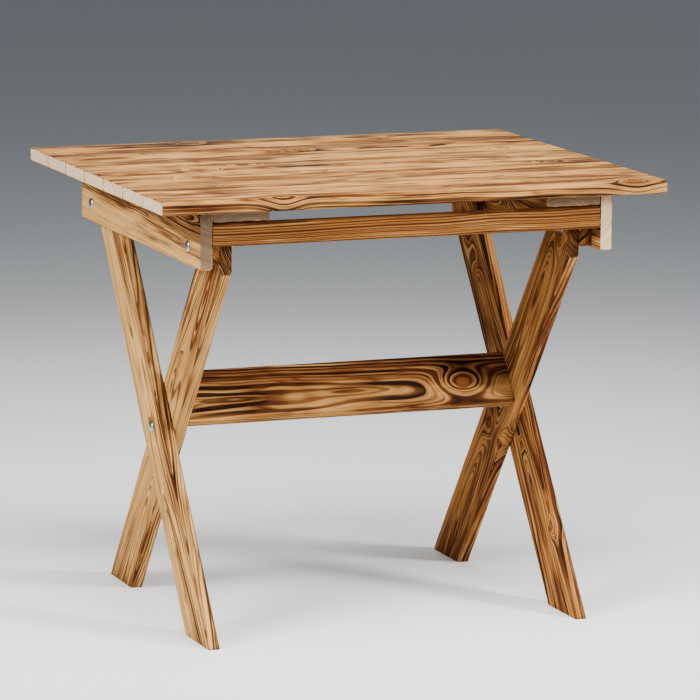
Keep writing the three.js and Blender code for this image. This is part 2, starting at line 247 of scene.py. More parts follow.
def pine_group():
    """A node group that grows a pine board's rings and knots in the board's own millimetres."""
    tree = bpy.data.node_groups.new("burnt_pine", "ShaderNodeTree")
    interface = tree.interface
    interface.new_socket("Grain", in_out="INPUT", socket_type="NodeSocketVector")
    interface.new_socket("Cut", in_out="INPUT", socket_type="NodeSocketFloat")
    interface.new_socket("Edge", in_out="INPUT", socket_type="NodeSocketFloat")
    for name in NUMBER_INPUTS:
        interface.new_socket(name, in_out="INPUT", socket_type="NodeSocketFloat")
    for index in range(KNOT_COUNT):
        interface.new_socket(f"Knot {index}", in_out="INPUT", socket_type="NodeSocketVector")
    interface.new_socket("Color", in_out="OUTPUT", socket_type="NodeSocketColor")
    interface.new_socket("Roughness", in_out="OUTPUT", socket_type="NodeSocketFloat")
    interface.new_socket("Height", in_out="OUTPUT", socket_type="NodeSocketFloat")

    g = Graph(tree)
    source = g.node("NodeGroupInput").outputs
    along, across, deep = g.split(source["Grain"])
    parts = (along, across, deep)
    shift = g.math("MULTIPLY", source["Seed"], SEED_SPACING)

    def shifted(amount):
        return g.math("ADD", shift, amount)

    # Slow bends of the trunk, then finer ripples.
    bend = g.noise(g.scaled(parts, (0.0035, 0.006, 0.006), shift), 1.5)
    drift = g.noise(g.scaled(parts, (0.0050, 0.004, 0.004), shifted(40)), 1.0)
    ripple = g.noise(g.scaled(parts, (0.014, 0.040, 0.040), shifted(90)), 2.0)
    bend_size = g.math("MULTIPLY", source["Waviness"], BEND_REACH)
    sideways = g.math("MULTIPLY", g.math("SUBTRACT", bend, 0.5), bend_size)
    depthways = g.math("MULTIPLY", g.math("SUBTRACT", drift, 0.5), bend_size)
    from_pith_y = g.math("ADD", g.math("SUBTRACT", across, source["Pith Across"]), sideways)
    from_pith_z = g.math("ADD", g.math("SUBTRACT", deep, source["Pith Depth"]), depthways)
    radius = g.math("SQRT", g.math("ADD", g.math("MULTIPLY", from_pith_y, from_pith_y),
                                   g.math("MULTIPLY", from_pith_z, from_pith_z)))
    radius = g.math("ADD", radius, g.math("MULTIPLY", along, source["Taper"]))
    ripple_size = g.math("MULTIPLY", source["Waviness"], RIPPLE_REACH)
    radius = g.math("ADD", radius, g.math("MULTIPLY", g.math("SUBTRACT", ripple, 0.5), ripple_size))

    # Knots push the rings outwards and have rings of their own. A negative size makes a long
    # lens in the figure without a knot in it.
    knot_mask = 0.0
    knot_edge = 0.0
    knot_rings = 0.0
    for index in range(KNOT_COUNT):
        knot_along, knot_across, knot_size = g.split(source[f"Knot {index}"])
        present = g.math("GREATER_THAN", knot_size, 0.5)
        reach = g.math("MULTIPLY", g.math("ABSOLUTE", knot_size), g.math("MULTIPLY_ADD", present, 0.4, 1.9))
        reach = g.math("ADD", reach, 0.01)
        stretch = g.math("MULTIPLY_ADD", present, 0.40, 0.12)
        dx = g.math("SUBTRACT", along, knot_along)
        dy = g.math("SUBTRACT", across, knot_across)
        wide = g.math("SQRT", g.math("ADD", g.math("POWER", g.math("MULTIPLY", dx, stretch), 2.0),
                                     g.math("MULTIPLY", dy, dy)))
        close = g.math("SQRT", g.math("ADD", g.math("POWER", g.math("MULTIPLY", dx, 0.88), 2.0),
                                      g.math("MULTIPLY", dy, dy)))
        close = g.math("ADD", close, g.math("MULTIPLY", g.math("SUBTRACT", ripple, 0.5), 2.4))
        spread = g.math("DIVIDE", wide, reach)
        swell = g.math("EXPONENT", g.math("MULTIPLY", g.math("MULTIPLY", spread, spread), -1.0))
        push = g.math("MULTIPLY", knot_size, g.math("MULTIPLY_ADD", present, 0.7, 1.7))
        radius = g.math("ADD", radius, g.math("MULTIPLY", swell, push))
        inside = g.math("SUBTRACT", knot_size, close)
        mask = g.math("MULTIPLY_ADD", inside, 0.8, 0.5, clamp=True)
        rim = g.math("SUBTRACT", 1.0, g.math("ABSOLUTE", g.math("MULTIPLY", inside, 0.7)), clamp=True)
        knot_mask = g.math("MAXIMUM", knot_mask, g.math("MULTIPLY", mask, present))
        knot_edge = g.math("MAXIMUM", knot_edge, g.math("MULTIPLY", rim, present))
        own = g.math("SINE", g.math("MULTIPLY", close, 2.6))
        knot_rings = g.math("ADD", knot_rings, g.math("MULTIPLY", own, g.math("MULTIPLY", mask, present)))

    # Scorching comes in long soft patches, and in bands that follow the rings.
    patch = g.noise(g.scaled(parts, (0.0038, 0.024, 0.024), shifted(15)), 2.0, 0.55)
    flow = (along, radius, deep)
    band = g.noise(g.scaled(flow, (0.0055, 0.13, 0.02), shifted(52)), 2.0, 0.60)
    patchiness = g.math("SUBTRACT", 1.0, source["Evenness"])
    uneven_char = g.math("MULTIPLY_ADD", g.math("SUBTRACT", patch, 0.5), PATCH_CONTRAST,
                         g.math("MULTIPLY", g.math("SUBTRACT", band, 0.5), BAND_CONTRAST))
    burnt = g.math("MULTIPLY_ADD", uneven_char, patchiness, source["Char"])
    burnt = g.math("ADD", burnt, g.math("MULTIPLY", across, source["Char Slope"]), clamp=True)
    scorched_cut = g.math("MULTIPLY", source["Cut"], -1.0, clamp=True)
    burnt = g.math("ADD", burnt, scorched_cut, clamp=True)

    # Each ring darkens through its early wood and ends sharply after a late band of its own width.
    uneven = g.noise(g.join(g.math("MULTIPLY_ADD", radius, 0.10, shift), shift, 0.0), 1.0)
    ring = g.math("ADD", g.math("DIVIDE", radius, source["Ring Width"]),
                  g.math("MULTIPLY", uneven, RING_UNEVENNESS))
    phase = g.math("FRACT", ring)
    year = g.noise(g.join(g.math("MULTIPLY", g.math("FLOOR", ring), 3.7), shift, 2.0), 0.0)
    start = g.math("ADD", g.math("MULTIPLY_ADD", year, -1.15, 1.14), g.math("MULTIPLY", burnt, -0.22))
    rise = g.math("DIVIDE", g.math("SUBTRACT", phase, start), LATE_RISE, clamp=True)
    fall = g.math("DIVIDE", g.math("SUBTRACT", 1.0, phase), LATE_FALL, clamp=True)
    late = g.math("MULTIPLY", g.math("MULTIPLY", rise, rise), fall)
    warming = g.math("MULTIPLY", g.math("POWER", phase, 2.0), 0.30)

    # Fibres and streaks run along the board.
    fibre = g.noise(g.scaled(parts, (0.010, 0.75, 0.75), shifted(61)), 4.0, 0.62)
    fine = g.noise(g.scaled(parts, (0.045, 2.4, 2.4), shifted(77)), 3.0, 0.6)
    streak = g.noise(g.scaled(flow, (0.0045, 0.26, 0.03), shifted(33)), 3.0, 0.62)
    dark_streak = g.math("MULTIPLY", g.math("SUBTRACT", 0.43, streak), STREAK_CONTRAST, clamp=True)
    pale_streak = g.math("MULTIPLY", g.math("SUBTRACT", streak, 0.57), STREAK_CONTRAST, clamp=True)

    fibre_tone = g.math("MULTIPLY", g.math("SUBTRACT", fibre, 0.5), 1.1)
    tone = g.math("ADD", fibre_tone, source["Tone"], clamp=True)
    tone = g.math("ADD", tone, warming, clamp=True)
    early = g.mix(tone, CREAM, HONEY)
    browned = g.math("MULTIPLY", g.math("POWER", burnt, 1.4),
                     g.math("MULTIPLY_ADD", source["Tone"], 0.30, 0.52))
    early = g.mix(browned, early, RUSSET)
    early = g.mix(g.math("MULTIPLY", pale_streak, 0.75), early, CREAM)
    late_colour = g.mix(burnt, LATE, SOOT)
    strength = g.math("MULTIPLY", late, g.math("MULTIPLY_ADD", burnt, 0.32, 0.68), clamp=True)
    colour = g.mix(strength, early, late_colour)
    scorch = g.math("MULTIPLY", dark_streak, g.math("MULTIPLY_ADD", burnt, 0.85, 0.15))
    scorch = g.math("MULTIPLY", scorch, patchiness)
    colour = g.mix(scorch, colour, LATE)
    from_line = g.math("ABSOLUTE", g.math("SUBTRACT", band, 0.5))
    line = g.math("SUBTRACT", 1.0, g.math("MULTIPLY", from_line, 15.0), clamp=True)
    line = g.math("MULTIPLY", line, g.math("MULTIPLY_ADD", burnt, 0.78, 0.14))
    colour = g.mix(g.math("MULTIPLY", line, patchiness), colour, LATE)
    # Arrises are darkened: partly charring, partly painted shade for the gaps between butted planks.
    arris_char_and_seam_shade = g.math("MULTIPLY", source["Edge"], g.math("MULTIPLY_ADD", patch, 3.2, -0.95, clamp=True))
    colour = g.mix(g.math("MULTIPLY", arris_char_and_seam_shade, 0.80), colour, LATE)
    lift = g.math("MULTIPLY_ADD", fine, 0.66, 0.67)
    colour = g.mix(1.0, colour, g.join(lift, lift, lift), "MULTIPLY")

    colour = g.mix(g.math("MULTIPLY", scorched_cut, 0.45), colour, SOOT)

    # Knot wood is redder and denser, with a scorched rim.
    knot_shade = g.math("MULTIPLY_ADD", knot_rings, 0.24, 0.10, clamp=True)
    knot_colour = g.mix(knot_shade, KNOT_RED, HONEY)
    colour = g.mix(g.math("MULTIPLY", knot_mask, 0.90), colour, knot_colour)
    colour = g.mix(g.math("MULTIPLY", knot_edge, 0.62), colour, SOOT)

    # Sawn ends are paler and greyer, and were never scorched. A negative cut is a scorched end.
    end_grain = g.mix(g.math("MULTIPLY", late, 0.50), END_PALE, END_DARK)
    speckle = g.noise(g.scaled(parts, (0.3, 1.4, 1.4), shifted(5)), 3.0, 0.7)
    # The ends are darkened by a painted shade number, multiplied in with the grain's own speckle.
    end_speckle_and_shade = g.math("MULTIPLY_ADD", speckle, 0.36, g.math("SUBTRACT", 0.80, source["Painted End Shade"]))
    end_grain = g.mix(1.0, end_grain, g.join(end_speckle_and_shade, end_speckle_and_shade, end_speckle_and_shade), "MULTIPLY")
    colour = g.mix(g.math("MAXIMUM", source["Cut"], 0.0), colour, end_grain)

    rough = g.math("SUBTRACT", g.math("MULTIPLY_ADD", fine, 0.20, 0.72), g.math("MULTIPLY", late, 0.14))
    rough = g.math("ADD", rough, g.math("MULTIPLY", g.math("MAXIMUM", source["Cut"], 0.0), 0.22))
    height = g.math("MULTIPLY", late, 0.60)
    height = g.math("ADD", height, g.math("MULTIPLY", fibre, 0.35))
    height = g.math("ADD", height, g.math("MULTIPLY", fine, 0.22))
    height = g.math("SUBTRACT", height, g.math("MULTIPLY", knot_edge, 0.5))

    sink = g.node("NodeGroupOutput").inputs
    g.put(sink["Color"], colour)
    g.put(sink["Roughness"], rough)
    g.put(sink["Height"], height)
    return tree


PINE = pine_group()


def pine_material(name, look):
    material = bpy.data.materials.new(name)
    material.use_nodes = True
    g = Graph(material.node_tree)
    surface = material.node_tree.nodes["Principled BSDF"]
    surface.inputs["Specular IOR Level"].default_value = WOOD_SHEEN
    group = g.node("ShaderNodeGroup", node_tree=PINE)
    for socket, kind in (("Grain", "Vector"), ("Cut", "Fac"), ("Edge", "Fac")):
        layer = g.node("ShaderNodeAttribute", attribute_name=socket.lower())
        g.put(group.inputs[socket], layer.outputs[kind])
    for socket, value in zip(NUMBER_INPUTS, look["numbers"]):
        group.inputs[socket].default_value = value
    for index, knot in enumerate(look.get("knots", ())):
        group.inputs[f"Knot {index}"].default_value = knot
    g.put(surface.inputs["Base Color"], group.outputs["Color"])
    g.put(surface.inputs["Roughness"], group.outputs["Roughness"])
    bump = g.node("ShaderNodeBump")
    bump.inputs["Strength"].default_value = WOOD_BUMP
    bump.inputs["Distance"].default_value = WOOD_BUMP_DEPTH
    g.put(bump.inputs["Height"], group.outputs["Height"])
    g.put(surface.inputs["Normal"], bump.outputs["Normal"])
    return material


# ---------------------------------------------------------------- boards

ARRIS_RADIUS = 3.0
ARRIS_STEPS = 4
ACROSS_STEP = 3.0
ALONG_STEP = 7.0
END_ROUND = 1.4
CHIP_SPACING = 55


def spread(low, high, step):
    count = max(1, round((high - low) / step))
    return [low + (high - low) * i / count for i in range(count + 1)]


def board_section(width, thickness, radius):
    """Points round a board's section, each with its outward direction, as (w, t, nw, nt)."""
    half_w = width / 2 - radius
    half_t = thickness / 2 - radius
    points = []
    for quarter in range(4):
        start = quarter * math.pi / 2
        corner_w = half_w if quarter in (0, 3) else -half_w
        corner_t = half_t if quarter in (0, 1) else -half_t
        for step in range(ARRIS_STEPS + 1):
            angle = start + step / ARRIS_STEPS * math.pi / 2
            nw, nt = math.cos(angle), math.sin(angle)
            points.append((corner_w + radius * nw, corner_t + radius * nt, nw, nt))
        if quarter in (0, 2):
            side = 1 if quarter == 0 else -1
            for w in spread(side * half_w, -side * half_w, ACROSS_STEP)[1:-1]:
                points.append((w, side * thickness / 2, 0, side))
        else:
            side = -1 if quarter == 1 else 1
            for t in spread(-side * half_t, side * half_t, ACROSS_STEP)[1:-1]:
                points.append((side * width / 2, t, side, 0))
    return points


def board_slices(length):
    """Places along a board with the amount its section draws in there, to round the ends off."""
    half = length / 2
    ends = [(END_ROUND * (1 - math.cos(a)), END_ROUND * (1 - math.sin(a)))
            for a in (math.radians(d) for d in (0, 30, 60, 90))]
    slices = [(-half + offset, draw) for offset, draw in ends]
    inner = [(x, 0.0) for x in spread(-half + 2 * END_ROUND, half - 2 * END_ROUND, ALONG_STEP)]
    slices += inner
    slices += [(half - offset, draw) for offset, draw in reversed(ends)]
    return slices


def wear(x, w, t, nw, nt, seed, chips):
    """How far a point of the surface sits below the true board there, in millimetres."""
    wave = noise.noise(Vector((x * 0.011 + seed * 3.1, w * 0.02, t * 0.02))) * 0.12
    corner = min(1.0, 2.2 * min(abs(nw), abs(nt)))
    if corner <= 0:
        return max(0.0, 0.12 + wave)
    worn = 0.35 + 0.55 * noise.noise(Vector((x * 0.03 + seed, nw * 2.0, nt * 2.0 + seed)))
    nibble = noise.noise(Vector((x * 0.16 + seed * 2, nw * 3.0, nt * 3.0)))
    depth = max(0.0, worn) + max(0.0, nibble - 0.28) * 2.6
    for chip_x, chip_w, chip_t, size, deep in chips:
        if chip_w * nw > 0 and chip_t * nt > 0:
            depth += deep * math.exp(-((x - chip_x) / size) ** 2)
    return max(0.0, 0.12 + wave) + depth * corner


def make_board(name, length, width, thickness, place, axes, look, body, cuts=(), ragged=1.0):
    """A worn board. axes are the directions of its length, width and thickness, place its middle in mm.
    cuts are (point in mm, normal, cut value) planes that trim the board to its outline. A cut value is 1
    for a pale sawn end, 0 for a face like the rest of the board and negative for a scorched cut."""
    seed = look["numbers"][0]
    draw = random.Random(int(seed * 1000) + 17)
    chips = [(draw.uniform(-length / 2, length / 2), draw.choice((-1, 1)), draw.choice((-1, 1)),
              draw.uniform(2.5, 9.0), draw.uniform(0.6, 1.7) * ragged)
             for _ in range(int(length / CHIP_SPACING))]
    section = board_section(width, thickness, ARRIS_RADIUS)
    slices = board_slices(length)
    bm = bmesh.new()
    grain = bm.verts.layers.float_vector.new("grain")
    edge_layer = bm.verts.layers.float.new("edge")
    cut_layer = bm.faces.layers.float.new("cut")
    along, across, deep = (Vector(axis) for axis in axes)
    centre = Vector(place)
    rings = []
    for x, drawn in slices:
        ring = []
        for w, t, nw, nt in section:
            sunk = drawn + wear(x, w, t, nw, nt, seed, chips) * (0.6 + 0.4 * ragged)
            point_w, point_t = w - nw * sunk, t - nt * sunk
            vert = bm.verts.new((centre + along * x + across * point_w + deep * point_t) * MM)
            vert[grain] = (x, point_w, point_t)
            vert[edge_layer] = min(1.0, 2.0 * min(abs(nw), abs(nt)))
            ring.append(vert)
        rings.append(ring)
    count = len(section)
    flip = along.cross(across).dot(deep) < 0
    for first, second in zip(rings, rings[1:]):
        for i in range(count):
            j = (i + 1) % count
            quad = (first[i], first[j], second[j], second[i])
            bm.faces.new(quad[::-1] if flip else quad)
    if not cuts:
        caps = (rings[0][::-1], rings[-1])
        for cap in caps:
            face = bm.faces.new(cap[::-1] if flip else cap)
            face[cut_layer] = look.get("end", 1.0)
    for point, normal, value in cuts:
        trim(bm, Vector(point) * MM, Vector(normal), value, cut_layer)
    bmesh.ops.recalc_face_normals(bm, faces=bm.faces)
    mesh = bpy.data.meshes.new(name)
    for face in bm.faces:
        face.smooth = len(face.verts) < 5
    bm.to_mesh(mesh)
    bm.free()
    piece = bpy.data.objects.new(f"{name}_visual", mesh)
    SCENE.collection.objects.link(piece)
    mesh.materials.append(pine_material(name, look))
    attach(piece, body)
    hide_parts(name)
    return piece


def trim(bm, point, normal, value, cut_layer):
    """Cuts away what lies past the plane and closes the board there."""
    geometry = bm.verts[:] + bm.edges[:] + bm.faces[:]
    result = bmesh.ops.bisect_plane(bm, geom=geometry, plane_co=point, plane_no=normal, clear_outer=True,
                                    dist=1e-7)
    edges = [item for item in result["geom_cut"] if isinstance(item, bmesh.types.BMEdge)]
    filled = bmesh.ops.contextual_create(bm, geom=edges)
    for face in filled["faces"]:
        face[cut_layer] = value


def node_box(name):
    """A CAD node's box as its middle and its size, in millimetres."""
    low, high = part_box(name)
    low, high = Vector(low) / MM, Vector(high) / MM
    return (low + high) / 2, high - low


X, Y, Z = Vector((1, 0, 0)), Vector((0, 1, 0)), Vector((0, 0, 1))
SIDES = ((-1, "left"), (1, "right"))

# The numbers are NUMBER_INPUTS in order; those left out are 0. Lengths are in mm, in the board's own
# directions. Knots are (along, across, radius), and a negative radius makes a long lens. "end" is the
# cut value of the board's two ends.
PLANK_LOOKS = (
    {"numbers": (1.3, 12, -60, 4.2, 0.010, 0.46, 0.50, 0.35, -0.005),
     "knots": ((386, -30, 8), (-235, -36, 7))},
    {"numbers": (2.7, -60, -70, 4.4, 0.008, 0.42, 0.46, 0.5),
     "knots": ((-30, 20, -6), (250, -10, -5), (-300, 10, 5))},
    {"numbers": (3.1, 25, -45, 4.0, 0.014, 0.48, 0.50, 0.6),
     "knots": ((-290, 16, 7), (350, 24, 5), (60, -20, -6))},
    {"numbers": (4.9, -10, -90, 3.8, 0.008, 0.42, 0.44, 0.5),
     "knots": ((-168, 32, 8), (-256, -4, 6), (180, -12, -6))},
    {"numbers": (5.2, 50, -60, 4.2, 0.010, 0.34, 0.38, 0.5),
     "knots": ((341, 18, 6), (-60, -20, -6), (-229, -11, 6))},
    {"numbers": (6.6, -25, -50, 4.0, 0.013, 0.44, 0.44, 0.6),
     "knots": ((-6, -18, 5), (-240, 22, -6), (220, 0, -6))},
    {"numbers": (7.4, 15, -70, 4.4, 0.009, 0.50, 0.48, 0.6),
     "knots": ((-160, 20, 6), (120, -20, -5))},
)
PLANK_WEAR = 1.2


def make_planks():
    for index, look in enumerate(PLANK_LOOKS):
        name = f"tabletop_plank_{index + 1}"
        middle, size = node_box(name)
        make_board(name, size.x, size.y, size.z, middle, (X, Y, Z), look, "root",
                   ragged=PLANK_WEAR)


# The tenth number darkens the apron and batten ends as painted shade.
APRON_LOOKS = {
    "left": {"numbers": (11.2, 60, -30, 3.6, 0.026, 0.80, 0.20, 1.0, 0.026, 0.72),
             "knots": ((-190, 34, -8), (110, 30, -8), (-280, 20, -12)), "end": 0.9},
    "right": {"numbers": (12.8, 30, -50, 4.0, 0.030, 0.50, 0.50, 0.8),
              "knots": ((90, -12, 7),), "end": 1.0},
}
BATTEN_LOOKS = {
    "left": {"numbers": (13.5, 10, -60, 4.0, 0.020, 0.60, 0.72, 0.8, 0.0, 0.60), "end": 0.85},
    "right": {"numbers": (14.1, -20, -55, 4.4, 0.026, 0.56, 0.72, 0.8, 0.0, 0.66), "end": 0.85},
}
SPACER_LOOKS = {
    "left": {"numbers": (15.5, 50, -80, 4.0, 0.02, 0.62, 0.70, 0.5), "end": 0.0},
    "right": {"numbers": (16.5, 60, -70, 4.0, 0.02, 0.75, 0.85, 0.5), "end": 0.0},
}
# The rail's char is set high partly as painted shade under the tabletop's overhang.
RAIL_LOOK = {"numbers": (18.6, 120, -140, 2.7, 0.006, 0.66, 0.80, 0.35, 0.004, 0.0, 0.90), "end": 0.2}


def make_frame():
    for side, label in SIDES:
        middle, size = node_box(f"apron_{label}")
        make_board(f"apron_{label}", size.y, size.z, size.x, middle, (Y, Z, X * side), APRON_LOOKS[label],
                   "root")
        middle, size = node_box(f"batten_{label}")
        make_board(f"batten_{label}", size.y, size.x, size.z, middle, (Y, X, Z), BATTEN_LOOKS[label],
                   "root")
        middle, size = node_box(f"spacer_block_{label}")
        make_board(f"spacer_block_{label}", size.y, size.z, size.x, middle, (Y, Z, X * side),
                   SPACER_LOOKS[label], "root")
    middle, size = node_box("front_rail")
    make_board("front_rail", size.x, size.z, size.y, middle, (X, Z, Y), RAIL_LOOK, "root")


# ---------------------------------------------------------------- legs and stretcher

def joint(name):
    return next(item for item in frame["record"]["behaviour"]["joints"] if item["name"] == name)


SLOT_WIDTH = 9.6
SLOT_RISE = math.radians(12.6)
SLOT_REACH = 60.0
SLOT_STEPS = 16
RECESS_RADIUS = 9.5
RECESS_DEPTH = 10.8

PIVOT = Vector(joint("leg_fold")["pos_m"]) / MM
CROSSING = Vector(joint("leg_crossing")["pos_m"]) / MM
LEG_TILT = math.atan2(PIVOT.y - CROSSING.y, PIVOT.z - CROSSING.z)
LEG_WIDTH = 95.0
LEG_SPARE = 160
FOOT_CLEARANCE = 0.04
LEVEL_CUT = 0.7
UPRIGHT_CUT = -0.9
SLOT_HALF_DEPTH = 30
RECESS_OVERRUN = 10

LEG_LOOKS = {
    "outer_leg_left": {"numbers": (21.4, -4, -34, 4.4, 0.040, 0.14, 0.12, 0.6, 0.006),
                       "knots": ((318, -6, -9), (40, 22, -6), (-250, -14, -6))},
    "outer_leg_right": {"numbers": (22.9, 2, 38, 3.8, 0.034, 0.58, 0.72, 0.7),
                        "knots": ((254, -4, 7), (187, -6, -6), (-291, 34, 5), (-120, 4, 4), (-200, 6, -8))},
    "inner_leg_left": {"numbers": (23.3, 16, -36, 3.8, 0.034, 0.40, 0.36, 0.6),
                       "knots": ((312, 18, -8), (-262, 14, -8), (60, -18, -6))},
    "inner_leg_right": {"numbers": (24.6, 4, 18, 3.6, 0.020, 0.62, 0.74, 0.7),
                        "knots": ((367, 4, 8), (-93, -6, 8), (-92, 40, 7), (250, -6, -7), (-260, -8, -6))},
}


def carve(leg, outline, reach, centre, axes):
    """Takes a straight-sided opening along X out of a leg, from reach[0] to reach[1]."""
    bm = bmesh.new()
    ends = [[bm.verts.new(Vector((x, point.y, point.z)) * MM) for point in outline] for x in reach]
    bm.faces.new(ends[0])
    bm.faces.new(ends[1][::-1])
    for i in range(len(outline)):
        j = (i + 1) % len(outline)
        bm.faces.new((ends[0][i], ends[1][i], ends[1][j], ends[0][j]))
    bmesh.ops.recalc_face_normals(bm, faces=bm.faces)
    tool_mesh = bpy.data.meshes.new("cutter")
    bm.to_mesh(tool_mesh)
    bm.free()
    tool = bpy.data.objects.new("cutter", tool_mesh)
    SCENE.collection.objects.link(tool)
    modifier = leg.modifiers.new("carve", "BOOLEAN")
    modifier.operation = "DIFFERENCE"
    modifier.object = tool
    modifier.solver = "EXACT"
    shaped = bpy.data.meshes.new_from_object(leg.evaluated_get(bpy.context.evaluated_depsgraph_get()))
    leg.modifiers.clear()
    leg.data = shaped
    bpy.data.objects.remove(tool)
    bpy.data.meshes.remove(tool_mesh)
    for vert, spot in zip(shaped.vertices, shaped.attributes["grain"].data):
        offset = leg.matrix_world @ vert.co / MM - centre
        spot.vector = [offset.dot(axis) for axis in axes]


def round_outline(middle, radius, start=0.0, sweep=2 * math.pi):
    count = SLOT_STEPS if sweep < 2 * math.pi else 2 * SLOT_STEPS
    steps = count + 1 if sweep < 2 * math.pi else count
    angles = [start + sweep * i / count for i in range(steps)]
    return [middle + (Y * math.cos(a) + Z * math.sin(a)) * radius for a in angles]


def slot_outline():
    """The channel for the front bolt, from its round seat out through the leg's end."""
    seat = Vector((0, -PIVOT.y, PIVOT.z))
    outwards = Vector((0, -math.cos(SLOT_RISE), math.sin(SLOT_RISE)))
    upwards = X.cross(outwards)
    radius = SLOT_WIDTH / 2
    seat_round = round_outline(seat, radius, math.atan2(upwards.z, upwards.y), math.pi)
    if (seat_round[SLOT_STEPS // 2] - seat).dot(outwards) > 0:
        seat_round = round_outline(seat, radius, math.atan2(-upwards.z, -upwards.y), math.pi)
    ends = [seat + outwards * SLOT_REACH + upwards * radius * sign for sign in (1, -1)]
    if (seat_round[-1] - seat).dot(upwards) < 0:
        ends.reverse()
    return seat_round + ends


def make_leg(name, side, lean, body):
    """lean is 1 for a leg whose top is at the back and -1 for one whose top is at the front."""
    middle, size = node_box(name)
    up = Vector((0, lean * math.sin(LEG_TILT), math.cos(LEG_TILT)))
    forward = Vector((0, -math.cos(LEG_TILT), lean * math.sin(LEG_TILT)))
    low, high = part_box(name)
    top_z = high[2] / MM
    end_y = max(lean * low[1], lean * high[1]) / MM
    long = top_z / math.cos(LEG_TILT) + LEG_SPARE
    half_height = top_z / 2
    centre = Vector((middle.x, lean * (half_height - CROSSING.z) * math.tan(LEG_TILT), half_height))
    cuts = (
        ((0, 0, FOOT_CLEARANCE), (0, 0, -1), LEVEL_CUT),
        ((0, 0, top_z), (0, 0, 1), LEVEL_CUT),
        ((0, lean * end_y, 0), (0, lean, 0), UPRIGHT_CUT),
    )
    axes = (up, forward, X * side)
    leg = make_board(name, long, LEG_WIDTH, size.x, centre, axes, LEG_LOOKS[name], body,
                     cuts=cuts)
    if lean < 0:
        slot_reach = (middle.x - SLOT_HALF_DEPTH, middle.x + SLOT_HALF_DEPTH)
        carve(leg, slot_outline(), slot_reach, centre, axes)
        inner_face = middle.x - side * size.x / 2
        recess_reach = (inner_face + side * RECESS_DEPTH, inner_face - side * RECESS_OVERRUN)
        carve(leg, round_outline(CROSSING, RECESS_RADIUS), recess_reach, centre, axes)


STRETCHER_LOOK = {"numbers": (25.7, -14, -42, 5.0, 0.014, 0.98, 0.56, 0.28, 0.014),
                  "knots": ((208, -6, 11), (4, -10, -4), (-210, -12, -3)), "end": 0.4}


def make_stretcher():
    """The stretcher lies in the slope of the inner legs, so its section is found from its upright box."""
    middle, size = node_box("stretcher")
    down = Vector((0, -math.sin(LEG_TILT), -math.cos(LEG_TILT)))
    face = Vector((0, -math.cos(LEG_TILT), math.sin(LEG_TILT)))
    run = size.z * math.cos(LEG_TILT) - size.y * math.sin(LEG_TILT)
    width = run / (math.cos(LEG_TILT) ** 2 - math.sin(LEG_TILT) ** 2)
    thickness = (size.z - width * math.cos(LEG_TILT)) / math.sin(LEG_TILT)
    make_board("stretcher", size.x, width, thickness, middle, (X, -down, face), STRETCHER_LOOK,
               "inner_legs")


def make_legs():
    for side, label in SIDES:
        make_leg(f"outer_leg_{label}", side, 1, "outer_legs")
        make_leg(f"inner_leg_{label}", side, -1, "inner_legs")
    make_stretcher()


# ---------------------------------------------------------------- zinc hardware

ZINC_DARK = (0.30, 0.315, 0.34, 1)
ZINC_PALE = (0.52, 0.53, 0.54, 1)
GRIME = (0.20, 0.17, 0.14, 1)

SPIN_STEPS = 32
SHARP_ANGLE = 32
HEAD_RADIUS = 9.8
HEAD_HEIGHT = 4.4
HEAD_RIM = 0.8
HEAD_STEPS = 8
BOLT_RADIUS = 4.0
BOLT_PITCH = 1.25
BOLT_THREAD = 26.0
BOLT_THREAD_DEPTH = 0.55
SCREW_RADIUS = 2.0
SCREW_PITCH = 2.2
SCREW_THREAD_DEPTH = 0.6
SCREW_HEAD = 4.0
SCREW_HEAD_DEPTH = 3.0
CROSS_REACH = 2.3
CROSS_HALF = 0.62
CROSS_DEPTH = 1.1
WASHER_BORE = 4.4
NUT_FLAT = 6.5
NUT_CORNER = 7.2
NUT_MOUTH = 4.9
HUB_HEIGHT = 7.9
WING_THICKNESS = 2.4
WING_TIP_RADIUS = 3.5
TURNING_GAP = 0.06


def zinc_material():
    material = bpy.data.materials.new("zinc")
    material.use_nodes = True
    g = Graph(material.node_tree)
    surface = material.node_tree.nodes["Principled BSDF"]
    place = g.split(g.node("ShaderNodeAttribute", attribute_name="grain").outputs["Vector"])
    cloud = g.noise(g.scaled(place, (0.5, 0.5, 0.5), 3.0), 3.0, 0.6)
    grime = g.noise(g.scaled(place, (1.6, 1.6, 1.6), 9.0), 4.0, 0.7)
    dirt = g.math("MULTIPLY", g.math("SUBTRACT", grime, 0.56), 5.0, clamp=True)
    colour = g.mix(cloud, ZINC_DARK, ZINC_PALE)
    colour = g.mix(g.math("MULTIPLY", dirt, 0.5), colour, GRIME)
    g.put(surface.inputs["Base Color"], colour)
    surface.inputs["Metallic"].default_value = 1.0
    g.put(surface.inputs["Roughness"], g.math("MULTIPLY_ADD", cloud, 0.20, 0.18))
    bump = g.node("ShaderNodeBump")
    bump.inputs["Strength"].default_value = 0.25
    bump.inputs["Distance"].default_value = 0.0002
    g.put(bump.inputs["Height"], grime)
    g.put(surface.inputs["Normal"], bump.outputs["Normal"])
    return material


ZINC = zinc_material()


def value_at(item, turn):
    return item(turn) if callable(item) else item


def spin(bm, rows):
    """Joins rows of (radius, height) round Z. Either may be a function of the turn, from 0 to 1."""
    rings = []
    for radius, height in rows:
        ring = []
        for i in range(SPIN_STEPS):
            turn = i / SPIN_STEPS
            r, h = value_at(radius, turn), value_at(height, turn)
            angle = turn * 2 * math.pi
            ring.append(bm.verts.new((r * math.cos(angle), r * math.sin(angle), h)))
        rings.append(ring)
    for first, second in zip(rings, rings[1:]):
        for i in range(SPIN_STEPS):
            j = (i + 1) % SPIN_STEPS
            bm.faces.new((first[i], first[j], second[j], second[i]))
    bmesh.ops.remove_doubles(bm, verts=bm.verts, dist=1e-4)


